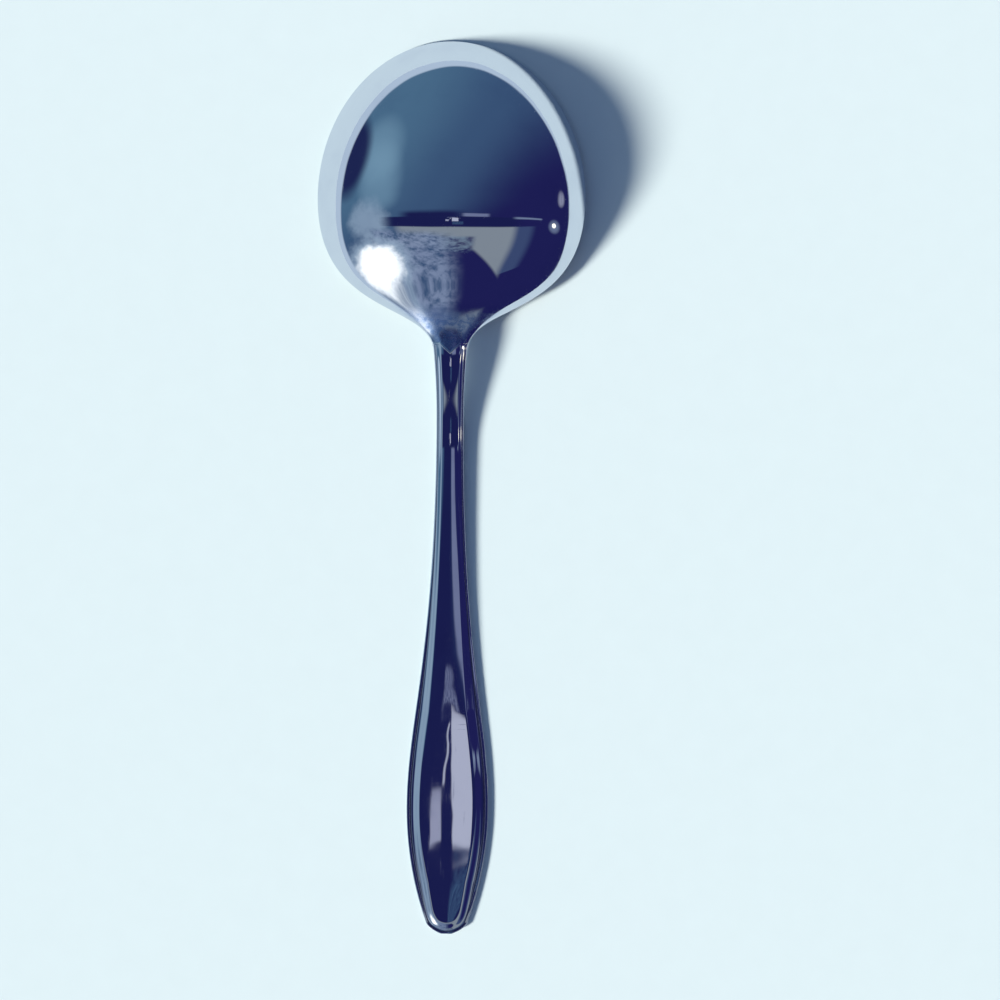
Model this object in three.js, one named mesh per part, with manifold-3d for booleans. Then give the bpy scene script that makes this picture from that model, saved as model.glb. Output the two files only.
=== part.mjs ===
// A round-bowl serving spoon lying face down: a dished bowl and a bordered handle, soldered at the heel.
// Millimetres, +Z up, +Y towards the tip of the bowl. The origin lies under the middle of the spoon, on the
// surface that carries it. The back of the spoon faces up, and the hollow of the bowl faces down.
import * as THREE from "three";
import { LoftGeometry } from "three/addons/geometries/LoftGeometry.js";
import { mergeVertices } from "three/addons/utils/BufferGeometryUtils.js";
import Module from "manifold-3d";

// Lengths along the spoon, from the tip of the bowl to the tip of the handle
const BOWL_TIP_LENGTH = 38.3; // tip of the bowl to its widest line
const BOWL_HEEL_LENGTH = 36.8; // widest line of the bowl to the heel, where the shoulders meet the stem
const NECK_LENGTH = 16.5; // heel to the waist, the narrowest place of the stem
const GRIP_LENGTH = 93.8; // waist to the widest line of the grip
const TAPER_LENGTH = 27.9; // widest line of the grip to the corners of the tip
const POINT_LENGTH = 2.7; // corners to the point of the tip

// Widths across the spoon
const BOWL_WIDTH = 64.7;
const HEEL_WIDTH = 8.1;
const WAIST_WIDTH = 6.6;
const GRIP_WIDTH = 19.8;
const TIP_WIDTH = 10.1;
const BLUNT_WIDTH = 2.4; // flat left at both ends of the spoon

// How far each curve of the outline keeps its direction, as a share of its own length
const SHOULDER_FULLNESS = 0.79;
const HEEL_TIGHTNESS = 0.32;
const NECK_EASE = 0.36;
const STEM_SLENDERNESS = 0.62;
const GRIP_FULLNESS = 0.23;
const TAPER_FULLNESS = 0.33;
const TIP_ROUNDNESS = 0.6;

// Sideways run of the outline for each millimetre of length
const HEEL_FLARE = 0.09;
const TIP_FLARE = 0.36;

// The bowl
const BOWL_DEPTH = 16; // rise of the back above the rim's outer edge
const BOWL_THICKNESS = 1.6; // of the metal at the middle
const RIM_WIDTH = 1.2; // flat land of the rim
const RIM_EDGE = 0.5; // upright outer edge of the rim
const HOLLOW_END = 4.6; // solid metal between the hollow and the heel
const HOLLOW_ROUNDING = 10.5; // length over which the hollow closes towards the heel
const HEEL_RUN = 36; // widest line of the bowl to where its back has run out into the stem
const HEEL_START = 2.75; // how long the back keeps its height before it falls
const HEEL_END = 3; // how gently it runs out

// The handle: thickness on its middle line
const HEEL_THICKNESS = 2.6;
const WAIST_THICKNESS = 2.4;
const GRIP_THICKNESS = 2.2;
const TIP_THICKNESS = 2.1;

// Its border, from the outline inwards: a flange with a shallow groove, then an ogee step up to the panel
const FLANGE_HEIGHT = 0.9; // over the face
const FACE_CHAMFER = 0.3; // along the lower edges
const ARRIS_WIDTH = 0.35; // rounding along the upper edges
const ARRIS_DROP = 0.2;
const GROOVE_MIDDLE = 1; // outline to the middle of the groove
const GROOVE_WIDTH = 0.5;
const GROOVE_DEPTH = 0.1;
const OGEE_FOOT = 1.2; // outline to the foot of the step
const OGEE_WIDTH = 2.4;
const OGEE_RISE = 1;
const OGEE_FADE = 1.5; // how fast the step gets lower where the handle is narrow
const FULL_PANEL = 4.3; // half width of the panel where the border has its full size
const END_SOFTNESS = 0.8; // slope of the step across the tip, as a share of its slope along the sides
const BORDER_BEFORE = 6; // where the border starts to show, ahead of the heel
const BORDER_AFTER = 4; // where it has its full height, past the heel

// How the spoon lies
const HEEL_RISE = 3.6; // of the rim's plane above the surface, at the heel
const ARCH_RISE = 0.6; // of the handle's face above the surface, where the stem has come down
const NECK_TURN = 25; // length over which the stem comes down from the heel
const PAD_LENGTH = 34; // flat end of the handle that lies on the surface

// The soldered seam: a pointed tongue of the bowl in a notch of the handle
const TONGUE_REACH = 0.5; // of the tongue's point past the heel
const TONGUE_LENGTH = 2.2;
const TONGUE_HALF_WIDTH = 2.4;
const SEAM_GAP = 0.3;

// Steps of the loft
const TIP_STEPS = 17;
const SHOULDER_STEPS = 24;
const NECK_STEPS = 8;
const GRIP_STEPS = 18;
const TAPER_STEPS = 14;
const POINT_STEPS = 7;
const ARRIS_SHARES = [0, 0.12, 0.45, 1];
const OGEE_STEPS = 6;
const PANEL_STEPS = 4;
const TIP_SAMPLES = 60;
const HOLLOW_STEPS = 8;

// Places along the spoon, measured from the tip of the bowl
const HEEL_AT = BOWL_TIP_LENGTH + BOWL_HEEL_LENGTH;
const WAIST_AT = HEEL_AT + NECK_LENGTH;
const GRIP_AT = WAIST_AT + GRIP_LENGTH;
const CORNER_AT = GRIP_AT + TAPER_LENGTH;
const SPOON_LENGTH = CORNER_AT + POINT_LENGTH;
const ARCH_AT = HEEL_AT + NECK_TURN;
const PAD_AT = SPOON_LENGTH - PAD_LENGTH;
const HOLLOW_END_AT = HEEL_AT - HOLLOW_END;
const BORDER_WIDTH = OGEE_FOOT + OGEE_WIDTH;

// Depth of an arc's centre below its chord
const centreBelow = (halfChord, rise) => (halfChord ** 2 - rise ** 2) / (2 * rise);
const arcHeight = (x, halfChord, below) => Math.sqrt(below ** 2 + halfChord ** 2 - x ** 2) - below;
const HOLLOW_HALF_WIDTH = BOWL_WIDTH / 2 - RIM_WIDTH;
const DOME_BELOW = centreBelow(BOWL_WIDTH / 2, BOWL_DEPTH);
const HOLLOW_BELOW = centreBelow(HOLLOW_HALF_WIDTH, RIM_EDGE + BOWL_DEPTH - BOWL_THICKNESS);

// A curve between two heights with given slopes at its ends, for a place between them
function ease(place, from, fromHeight, fromSlope, to, toHeight, toSlope) {
  const length = to - from;
  const t = (place - from) / length;
  return (
    (1 + 2 * t) * (1 - t) ** 2 * fromHeight +
    t * (1 - t) ** 2 * fromSlope * length +
    t * t * (3 - 2 * t) * toHeight +
    t * t * (t - 1) * toSlope * length
  );
}

// A quarter of an ellipse, from 0 at its foot to 1 where it levels off
const roundOver = (share) => Math.sqrt(1 - (1 - THREE.MathUtils.clamp(share, 0, 1)) ** 2);

// A stretch of the outline between two points, with the sideways run that it has at each end
function stretch(from, to, keepFrom, keepTo, runFrom, runTo, steps) {
  const length = to.y - from.y;
  const curve = new THREE.CubicBezierCurve(
    from,
    new THREE.Vector2(from.x - runFrom * keepFrom * length, from.y + keepFrom * length),
    new THREE.Vector2(to.x + runTo * keepTo * length, to.y - keepTo * length),
    to,
  );
  return curve.getPoints(steps).slice(1);
}

// The end of the handle, from its corner to the blunt point
function tipCurve() {
  const keep = TIP_ROUNDNESS * POINT_LENGTH;
  return new THREE.QuadraticBezierCurve(
    new THREE.Vector2(TIP_WIDTH / 2, CORNER_AT),
    new THREE.Vector2(TIP_WIDTH / 2 - TIP_FLARE * keep, CORNER_AT + keep),
    new THREE.Vector2(BLUNT_WIDTH / 2, SPOON_LENGTH),
  );
}
const TIP_POINTS = tipCurve().getPoints(TIP_SAMPLES);

// The outline seen from above, as half widths (x) at places along the spoon (y)
function outline() {
  const half = (width, place) => new THREE.Vector2(width / 2, place);
  const widest = half(BOWL_WIDTH, BOWL_TIP_LENGTH);
  const heel = half(HEEL_WIDTH, HEEL_AT);
  const waist = half(WAIST_WIDTH, WAIST_AT);
  const grip = half(GRIP_WIDTH, GRIP_AT);
  const corner = half(TIP_WIDTH, CORNER_AT);
  const tip = new THREE.EllipseCurve(
    0,
    BOWL_TIP_LENGTH,
    BOWL_WIDTH / 2,
    BOWL_TIP_LENGTH,
    -Math.acos(BLUNT_WIDTH / BOWL_WIDTH),
    0,
  );
  return [
    ...tip.getPoints(TIP_STEPS),
    ...stretch(widest, heel, SHOULDER_FULLNESS, HEEL_TIGHTNESS, 0, HEEL_FLARE, SHOULDER_STEPS),
    ...stretch(heel, waist, NECK_EASE, NECK_EASE, HEEL_FLARE, 0, NECK_STEPS),
    ...stretch(waist, grip, STEM_SLENDERNESS, GRIP_FULLNESS, 0, 0, GRIP_STEPS),
    ...stretch(grip, corner, TAPER_FULLNESS, TAPER_FULLNESS, 0, TIP_FLARE, TAPER_STEPS),
    ...tipCurve().getPoints(POINT_STEPS).slice(1),
  ];
}

// Height of the face, the lower side: the tilted plane of the rim, the stem coming down, and the flat end
function faceHeight(place) {
  const tilt = HEEL_RISE / HEEL_AT;
  const fall = (-2 * ARCH_RISE) / (PAD_AT - ARCH_AT);
  if (place <= HOLLOW_END_AT) return place * tilt;
  if (place <= ARCH_AT) {
    return ease(place, HOLLOW_END_AT, HOLLOW_END_AT * tilt, tilt, ARCH_AT, ARCH_RISE, fall);
  }
  if (place <= PAD_AT) return ease(place, ARCH_AT, ARCH_RISE, fall, PAD_AT, 0, 0);
  return 0;
}

// Thickness of the handle on its middle line
function thickness(place) {
  const neckSlope = (WAIST_THICKNESS - HEEL_THICKNESS) / NECK_LENGTH;
  const gripSlope = (GRIP_THICKNESS - WAIST_THICKNESS) / GRIP_LENGTH;
  const taperSlope = (TIP_THICKNESS - GRIP_THICKNESS) / TAPER_LENGTH;
  const waistSlope = (neckSlope + gripSlope) / 2;
  const widestSlope = (gripSlope + taperSlope) / 2;
  if (place <= HEEL_AT) return HEEL_THICKNESS;
  if (place <= WAIST_AT) {
    return ease(place, HEEL_AT, HEEL_THICKNESS, 0, WAIST_AT, WAIST_THICKNESS, waistSlope);
  }
  if (place <= GRIP_AT) {
    return ease(place, WAIST_AT, WAIST_THICKNESS, waistSlope, GRIP_AT, GRIP_THICKNESS, widestSlope);
  }
  if (place <= CORNER_AT) {
    return ease(place, GRIP_AT, GRIP_THICKNESS, widestSlope, CORNER_AT, TIP_THICKNESS, 0);
  }
  return TIP_THICKNESS;
}

// Half width of the hollow, which keeps the rim's width and closes round ahead of the heel
function hollowHalfWidth(place, half, run) {
  if (place < BOWL_TIP_LENGTH) {
    const share = (BOWL_TIP_LENGTH - place) / (BOWL_TIP_LENGTH - RIM_WIDTH);
    return HOLLOW_HALF_WIDTH * Math.sqrt(Math.max(0, 1 - share ** 2));
  }
  const closing = Math.max(0, (place - HOLLOW_END_AT) / HOLLOW_ROUNDING + 1);
  const inner = Math.max(0, half - RIM_WIDTH * Math.hypot(1, run));
  return inner * Math.sqrt(Math.max(0, 1 - closing ** 2));
}

// Rise of the bowl's back above its edges: the dome, then the heel that runs out into the stem
function bowlRise(place, half) {
  if (place <= BOWL_TIP_LENGTH) return arcHeight(0, half, DOME_BELOW);
  const stemRise = thickness(place) - RIM_EDGE;
  const run = Math.min(1, (place - BOWL_TIP_LENGTH) / HEEL_RUN);
  return stemRise + (BOWL_DEPTH - stemRise) * (1 - run ** HEEL_START) ** HEEL_END;
}

// Distances from the outline at which the handle's back has a point: rounded edge, groove, step
function borderDistances() {
  const arris = ARRIS_SHARES.map((share) => share * ARRIS_WIDTH);
  const groove = [GROOVE_MIDDLE - GROOVE_WIDTH / 2, GROOVE_MIDDLE];
  const ogee = Array.from({ length: OGEE_STEPS + 1 }, (_, i) => OGEE_FOOT + (OGEE_WIDTH * i) / OGEE_STEPS);
  return [...arris, ...groove, ...ogee];
}

// How far a point lies from the curve of the tip, for a point between the sides of the handle
function tipDistance(x, place) {
  const reached = TIP_POINTS.findIndex((point) => point.x <= Math.abs(x));
  const next = reached < 0 ? TIP_SAMPLES : Math.max(1, reached);
  const after = TIP_POINTS[next];
  const before = TIP_POINTS[next - 1];
  const slope = (after.y - before.y) / (before.x - after.x);
  const share = THREE.MathUtils.clamp((before.x - Math.abs(x)) / (before.x - after.x), 0, 1);
  const edge = THREE.MathUtils.lerp(before.y, after.y, share);
  return Math.max(0, edge - place) / Math.hypot(1, Math.min(1, slope));
}

// Height of the handle's back over its face, at a distance x from the middle line
function handleBack(x, place, half, run) {
  const fullHalf = place > CORNER_AT ? TIP_WIDTH / 2 : half;
  const scale = Math.min(1, fullHalf / (BORDER_WIDTH + FULL_PANEL));
  const side = Math.max(0, half - Math.abs(x)) / Math.hypot(1, run) / scale;
  const end = tipDistance(x, place) / scale;
  const inner = Math.min(side, end * END_SOFTNESS);
  const arris = ARRIS_DROP * (1 - roundOver(Math.min(side, end) / ARRIS_WIDTH));
  const beside = Math.abs(inner - GROOVE_MIDDLE);
  const groove = GROOVE_DEPTH * (1 - THREE.MathUtils.smoothstep(beside, 0, GROOVE_WIDTH / 2)) * scale;
  const rise = OGEE_RISE * scale ** OGEE_FADE;
  const ogee = rise * THREE.MathUtils.smoothstep(inner, OGEE_FOOT, BORDER_WIDTH);
  const level = 1 - (x / fullHalf) ** 2;
  const crown = (thickness(place) - FLANGE_HEIGHT - rise) * level;
  return FLANGE_HEIGHT - arris - groove + ogee + crown;
}

// One cross-section, counterclockwise seen from the handle: over the back, then along the face
function section(place, half, run) {
  const border = THREE.MathUtils.smoothstep(place, HEEL_AT - BORDER_BEFORE, HEEL_AT + BORDER_AFTER);
  const distances = borderDistances();
  const shrink = Math.min(1, half / (BORDER_WIDTH + FULL_PANEL));
  const panelHalf = half - BORDER_WIDTH * shrink;
  const panel = Array.from({ length: PANEL_STEPS }, (_, i) => panelHalf * (1 - (i + 1) / PANEL_STEPS));
  const handleXs = [...distances.map((distance) => half - distance * shrink), ...panel];

  const rise = bowlRise(place, half);
  const below = centreBelow(half, rise);
  const spread = Math.atan2(half, below);
  const last = handleXs.length - 1;
  const bowlX = (i) => Math.hypot(half, below) * Math.sin(spread * (1 - i / last));
  const base = faceHeight(place);
  const backHalf = handleXs.map((handleX, i) => {
    const x = THREE.MathUtils.lerp(bowlX(i), handleX, border);
    const bowlZ = RIM_EDGE + arcHeight(Math.min(x, half), half, below);
    return [x, base + THREE.MathUtils.lerp(bowlZ, handleBack(x, place, half, run), border)];
  });

  const hollow = hollowHalfWidth(place, half, run);
  const hollowRise = Math.min(arcHeight(0, hollow, HOLLOW_BELOW), RIM_EDGE + rise - BOWL_THICKNESS);
  const hollowHeight = (x) => (x < hollow ? arcHeight(x, hollow, centreBelow(hollow, hollowRise)) : 0);
  const landEnd = THREE.MathUtils.lerp(Math.max(hollow, half / 3), half - FACE_CHAMFER * shrink, border);
  const hollowXs = Array.from(
    { length: HOLLOW_STEPS + 1 },
    (_, i) => landEnd * Math.cos((Math.PI / 2) * (i / HOLLOW_STEPS)),
  );
  hollowXs[HOLLOW_STEPS] = 0;
  const faceHalf = [
    [half, base + FACE_CHAMFER * border],
    ...hollowXs.map((x) => [x, base + hollowHeight(x)]),
  ];

  const y = SPOON_LENGTH / 2 - place;
  const right = ([x, z]) => new THREE.Vector3(x, y, z);
  const left = ([x, z]) => new THREE.Vector3(-x, y, z);
  return [
    ...backHalf.map(right),
    ...backHalf.slice(0, -1).reverse().map(left),
    ...faceHalf.map(left),
    ...faceHalf.slice(0, -1).reverse().map(right),
  ];
}

// The whole spoon as one loft from the tip of the bowl to the tip of the handle
function spoonGeometry() {
  const stations = outline();
  const runAt = (i) => {
    const before = stations[Math.max(0, i - 1)];
    const after = stations[Math.min(stations.length - 1, i + 1)];
    return (after.x - before.x) / (after.y - before.y);
  };
  const sections = stations.map(({ x, y }, i) => section(y, x, runAt(i)));
  return new LoftGeometry(sections, { closed: true, capStart: true, capEnd: true });
}

// Everything on the bowl's side of the seam, moved along the spoon by a given amount
function bowlSide(shift) {
  const point = SPOON_LENGTH / 2 - HEEL_AT - TONGUE_REACH + shift;
  const shoulder = point + TONGUE_LENGTH;
  const plan = new THREE.Shape([
    new THREE.Vector2(0, point),
    new THREE.Vector2(TONGUE_HALF_WIDTH, shoulder),
    new THREE.Vector2(BOWL_WIDTH, shoulder),
    new THREE.Vector2(BOWL_WIDTH, SPOON_LENGTH),
    new THREE.Vector2(-BOWL_WIDTH, SPOON_LENGTH),
    new THREE.Vector2(-BOWL_WIDTH, shoulder),
    new THREE.Vector2(-TONGUE_HALF_WIDTH, shoulder),
  ]);
  const height = 2 * (BOWL_DEPTH + HEEL_RISE + HEEL_THICKNESS);
  const block = new THREE.ExtrudeGeometry(plan, { depth: 2 * height, bevelEnabled: false });
  return block.translate(0, 0, -height);
}

const wasm = await Module();
wasm.setup();

function solidOf(geometry) {
  const bare = new THREE.BufferGeometry();
  bare.setAttribute("position", geometry.getAttribute("position"));
  bare.setIndex(geometry.getIndex());
  const merged = mergeVertices(bare);
  return new wasm.Manifold(
    new wasm.Mesh({
      numProp: 3,
      vertProperties: new Float32Array(merged.attributes.position.array),
      triVerts: new Uint32Array(merged.index.array),
    }),
  );
}

function meshOf(solid, name, material) {
  const { vertProperties, triVerts } = solid.getMesh();
  const geometry = new THREE.BufferGeometry();
  geometry.setAttribute("position", new THREE.BufferAttribute(new Float32Array(vertProperties), 3));
  geometry.setIndex(new THREE.BufferAttribute(new Uint32Array(triVerts), 1));
  geometry.computeVertexNormals();
  const mesh = new THREE.Mesh(geometry, material);
  mesh.name = name;
  return mesh;
}

const silver = new THREE.MeshStandardMaterial({ color: 0xc3c9d2, roughness: 0.12, metalness: 1 });

const spoon = solidOf(spoonGeometry());
const seamShift = SEAM_GAP * Math.hypot(1, TONGUE_LENGTH / TONGUE_HALF_WIDTH);
const bowl = spoon.intersect(solidOf(bowlSide(0)));
const handle = spoon.subtract(solidOf(bowlSide(-seamShift)));

const group = new THREE.Group();
group.add(meshOf(bowl, "bowl", silver), meshOf(handle, "handle", silver.clone()));

export default group;
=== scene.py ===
"""Dresses a round-bowl serving spoon that lies face down.

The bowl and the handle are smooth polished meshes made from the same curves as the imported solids, with the
solder that joins them at the heel. A pale floor, one soft lamp and a dark room above give the metal its
reflections.
"""

from __future__ import annotations

import logging
import math
from dataclasses import dataclass, field
from enum import Enum
from typing import Any

import bpy
import numpy as np
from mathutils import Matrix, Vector

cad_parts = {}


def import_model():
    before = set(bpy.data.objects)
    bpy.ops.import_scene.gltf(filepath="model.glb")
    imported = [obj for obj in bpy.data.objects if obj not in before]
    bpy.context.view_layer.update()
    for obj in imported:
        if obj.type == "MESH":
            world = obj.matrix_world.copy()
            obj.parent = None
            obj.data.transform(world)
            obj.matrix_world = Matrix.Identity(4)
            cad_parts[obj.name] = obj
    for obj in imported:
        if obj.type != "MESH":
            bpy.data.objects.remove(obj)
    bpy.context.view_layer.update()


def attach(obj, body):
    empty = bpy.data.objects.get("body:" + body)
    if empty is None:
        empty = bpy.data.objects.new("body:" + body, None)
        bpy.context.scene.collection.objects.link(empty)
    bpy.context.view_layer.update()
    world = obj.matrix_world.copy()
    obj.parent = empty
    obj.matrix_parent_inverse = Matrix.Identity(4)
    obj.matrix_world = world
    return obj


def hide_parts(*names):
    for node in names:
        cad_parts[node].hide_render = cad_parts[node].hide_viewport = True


MM = 0.001
BODY = "root"
RECESS = "recess"
# Attribute for the heel's share of painted dark-blue reflection and satin gloss
HEEL_SATIN_AND_PAINTED_REFLECTION = "heel_satin_and_painted_reflection"
CREASE_ANGLE = 50.0
Array = np.ndarray

log = logging.getLogger("serving_spoon")


def smoothstep(value: Array, low: float, high: float) -> Array:
    """Gives a soft step from 0 at low to 1 at high."""
    share = np.clip((np.asarray(value, float) - low) / (high - low), 0, 1)
    return share * share * (3 - 2 * share)


def round_over(share: Array) -> Array:
    """Gives a quarter of an ellipse, from 0 at its foot to 1 where it levels off."""
    return np.sqrt(1 - (1 - np.clip(share, 0, 1)) ** 2)


def ease(place: Array, start: tuple[float, float, float], end: tuple[float, float, float]) -> Array:
    """Runs a cubic between two places.

    Args:
        place: places along the spoon.
        start: place, height and slope where the curve starts.
        end: place, height and slope where it ends.

    Returns:
        The heights, held level outside the two places.
    """
    length = end[0] - start[0]
    t = np.clip((np.asarray(place, float) - start[0]) / length, 0, 1)
    rising = t * t * (3 - 2 * t)
    slopes = t * (1 - t) ** 2 * start[2] * length + t * t * (t - 1) * end[2] * length
    return start[1] * (1 - rising) + end[1] * rising + slopes


def soft_least(first: Array, second: Array, softness: float) -> Array:
    """Gives the smaller of two values, rounded off where they are nearly equal."""
    near = np.maximum(softness - np.abs(first - second), 0) / softness
    return np.minimum(first, second) - near**2 * softness / 4


def centre_below(half_chord: Array, rise: Array) -> Array:
    """Gives how far an arc's centre lies below its chord."""
    return (half_chord**2 - rise**2) / (2 * rise)


def arc_height(x: Array, half_chord: Array, below: Array) -> Array:
    """Gives the height of an arc over its chord, at a distance x from the middle."""
    return np.sqrt(np.maximum(below**2 + half_chord**2 - x**2, 0)) - below


def bezier(points: list[tuple[float, float]], count: int) -> Array:
    """Samples a Bezier curve of any degree.

    Args:
        points: control points (half width, place).
        count: number of steps.

    Returns:
        count + 1 points along the curve.
    """
    t = np.linspace(0, 1, count + 1)[:, None]
    layer = [np.array(point, float)[None, :] for point in points]
    while len(layer) > 1:
        layer = [a * (1 - t) + b * t for a, b in zip(layer, layer[1:])]
    return layer[0]


@dataclass
class SpoonForm:
    """The spoon's curves in millimetres. A place is measured along the spoon from the tip of the bowl."""

    bowl_tip_length: float = 38.3
    bowl_heel_length: float = 36.8
    neck_length: float = 16.5
    grip_length: float = 93.8
    taper_length: float = 27.9
    point_length: float = 2.7

    bowl_width: float = 64.7
    heel_width: float = 8.1
    waist_width: float = 6.6
    grip_width: float = 19.8
    tip_width: float = 10.1
    blunt_width: float = 2.4

    shoulder_fullness: float = 0.79
    heel_tightness: float = 0.32
    neck_ease: float = 0.36
    stem_slenderness: float = 0.62
    grip_fullness: float = 0.23
    taper_fullness: float = 0.33
    tip_roundness: float = 0.6
    heel_flare: float = 0.09
    tip_flare: float = 0.36

    bowl_depth: float = 16.0
    bowl_thickness: float = 1.6
    rim_width: float = 1.2
    rim_edge: float = 0.5
    hollow_end: float = 4.6
    hollow_rounding: float = 10.5
    heel_run: float = 36.0
    heel_start: float = 2.75
    heel_end: float = 3.0

    heel_thickness: float = 2.6
    waist_thickness: float = 2.4
    grip_thickness: float = 2.2
    tip_thickness: float = 2.1
    flange_height: float = 0.9
    face_chamfer: float = 0.3
    arris_width: float = 0.35
    arris_drop: float = 0.2
    groove_middle: float = 1.0
    groove_width: float = 0.5
    groove_depth: float = 0.1
    ogee_foot: float = 1.2
    ogee_width: float = 2.4
    ogee_rise: float = 1.0
    ogee_fade: float = 1.5
    full_panel: float = 4.3
    end_softness: float = 0.8
    corner_softness: float = 1.6
    border_before: float = 6.0
    border_after: float = 4.0

    heel_rise: float = 3.6
    arch_rise: float = 0.6
    neck_turn: float = 25.0
    pad_length: float = 34.0

    tongue_reach: float = 0.5
    tongue_length: float = 2.2
    tongue_half_width: float = 2.4
    seam_gap: float = 0.3

    samples: int = 4000
    least_rise: float = 0.001
    heel_at: float = field(init=False)
    waist_at: float = field(init=False)
    grip_at: float = field(init=False)
    corner_at: float = field(init=False)
    length: float = field(init=False)
    arch_at: float = field(init=False)
    pad_at: float = field(init=False)
    hollow_end_at: float = field(init=False)
    hollow_half: float = field(init=False)
    dome_below: float = field(init=False)
    hollow_below: float = field(init=False)
    tongue_at: float = field(init=False)
    seam_at: float = field(init=False)
    seam_shift: float = field(init=False)
    border_width: float = field(init=False)
    _halves: Array = field(init=False, repr=False)
    _places: Array = field(init=False, repr=False)
    _runs: Array = field(init=False, repr=False)

    def __post_init__(self) -> None:
        """Works out the places along the spoon and samples its outline."""
        self.heel_at = self.bowl_tip_length + self.bowl_heel_length
        self.waist_at = self.heel_at + self.neck_length
        self.grip_at = self.waist_at + self.grip_length
        self.corner_at = self.grip_at + self.taper_length
        self.length = self.corner_at + self.point_length
        self.arch_at = self.heel_at + self.neck_turn
        self.pad_at = self.length - self.pad_length
        self.hollow_end_at = self.heel_at - self.hollow_end
        self.hollow_half = self.bowl_width / 2 - self.rim_width
        self.dome_below = centre_below(self.bowl_width / 2, self.bowl_depth)
        hollow_depth = self.rim_edge + self.bowl_depth - self.bowl_thickness
        self.hollow_below = centre_below(self.hollow_half, hollow_depth)
        self.tongue_at = self.heel_at + self.tongue_reach
        self.seam_at = self.tongue_at - self.tongue_length
        self.seam_shift = self.seam_gap * math.hypot(1, self.tongue_length / self.tongue_half_width)
        self.border_width = self.ogee_foot + self.ogee_width
        self._sample_outline()

    def _stretch(self, ends: tuple, keeps: tuple[float, float], runs: tuple[float, float]) -> Array:
        """Samples one stretch of the outline.

        Args:
            ends: the two ends, each (half width, place).
            keeps: share of the length over which each end keeps its direction.
            runs: sideways run of the outline at each end.

        Returns:
            Points (half width, place).
        """
        (from_half, from_place), (to_half, to_place) = ends
        length = to_place - from_place
        first = (from_half - runs[0] * keeps[0] * length, from_place + keeps[0] * length)
        second = (to_half + runs[1] * keeps[1] * length, to_place - keeps[1] * length)
        return bezier([ends[0], first, second, ends[1]], self.samples)

    def _sample_outline(self) -> None:
        """Samples the half widths behind the bowl's widest line, and their slopes."""
        widest = (self.bowl_width / 2, self.bowl_tip_length)
        heel = (self.heel_width / 2, self.heel_at)
        waist = (self.waist_width / 2, self.waist_at)
        grip = (self.grip_width / 2, self.grip_at)
        corner = (self.tip_width / 2, self.corner_at)
        blunt = (self.blunt_width / 2, self.length)
        keep = self.tip_roundness * self.point_length
        corner_turn = (corner[0] - self.tip_flare * keep, corner[1] + keep)
        stretches = [
            self._stretch(
                (widest, heel), (self.shoulder_fullness, self.heel_tightness), (0, self.heel_flare)
            ),
            self._stretch((heel, waist), (self.neck_ease, self.neck_ease), (self.heel_flare, 0)),
            self._stretch((waist, grip), (self.stem_slenderness, self.grip_fullness), (0, 0)),
            self._stretch((grip, corner), (self.taper_fullness, self.taper_fullness), (0, self.tip_flare)),
            bezier([corner, corner_turn, blunt], self.samples),
        ]
        points = np.vstack([stretches[0]] + [stretch[1:] for stretch in stretches[1:]])
        self._halves = points[:, 0]
        self._places = points[:, 1]
        self._runs = np.gradient(self._halves, self._places)

    def half_width(self, place: Array) -> Array:
        """Gives half the width of the outline.

        Args:
            place: places along the spoon.

        Returns:
            The half widths.
        """
        place = np.asarray(place, float)
        share = np.clip((self.bowl_tip_length - place) / self.bowl_tip_length, 0, 1)
        tip = self.bowl_width / 2 * np.sqrt(1 - share**2)
        return np.where(place < self.bowl_tip_length, tip, np.interp(place, self._places, self._halves))

    def run(self, place: Array) -> Array:
        """Gives how fast the half width grows along the spoon, behind the bowl's widest line."""
        return np.interp(place, self._places, self._runs)

    def face_height(self, place: Array) -> Array:
        """Gives the height of the face, the lower side, above the floor.

        Args:
            place: places along the spoon.

        Returns:
            The heights.
        """
        tilt = self.heel_rise / self.heel_at
        place = np.asarray(place, float)
        rim = place * tilt
        fall = 2 * self.arch_rise / (self.pad_at - self.arch_at)
        turn_from = (self.hollow_end_at, self.hollow_end_at * tilt, tilt)
        turn = ease(place, turn_from, (self.arch_at, self.arch_rise, -fall))
        arch = ease(place, (self.arch_at, self.arch_rise, -fall), (self.pad_at, 0, 0))
        handle = np.where(place < self.arch_at, turn, arch)
        return np.where(place < self.hollow_end_at, rim, handle)

    def thickness(self, place: Array) -> Array:
        """Gives the thickness of the handle on its middle line.

        Args:
            place: places along the spoon.

        Returns:
            The thicknesses.
        """
        neck_slope = (self.waist_thickness - self.heel_thickness) / self.neck_length
        grip_slope = (self.grip_thickness - self.waist_thickness) / self.grip_length
        taper_slope = (self.tip_thickness - self.grip_thickness) / self.taper_length
        waist = (self.waist_at, self.waist_thickness, (neck_slope + grip_slope) / 2)
        grip = (self.grip_at, self.grip_thickness, (grip_slope + taper_slope) / 2)
        neck = ease(place, (self.heel_at, self.heel_thickness, 0), waist)
        stem = ease(place, waist, grip)
        taper = ease(place, grip, (self.corner_at, self.tip_thickness, 0))
        return np.where(place < self.waist_at, neck, np.where(place < self.grip_at, stem, taper))

    def border(self, place: Array) -> Array:
        """Gives how far the bowl's plain section has turned into the handle's bordered one."""
        return smoothstep(place, self.heel_at - self.border_before, self.heel_at + self.border_after)

    def bowl_rise(self, place: Array) -> Array:
        """Gives the rise of the bowl's back over its edges, with the heel that runs out into the stem.

        Args:
            place: places along the spoon.

        Returns:
            The rises on the middle line.
        """
        place = np.asarray(place, float)
        dome = arc_height(0, self.half_width(place), self.dome_below)
        stem = self.thickness(place) - self.rim_edge
        run = np.clip((place - self.bowl_tip_length) / self.heel_run, 0, 1)
        fall = (1 - run**self.heel_start) ** self.heel_end
        return np.where(place < self.bowl_tip_length, dome, stem + (self.bowl_depth - stem) * fall)

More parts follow.
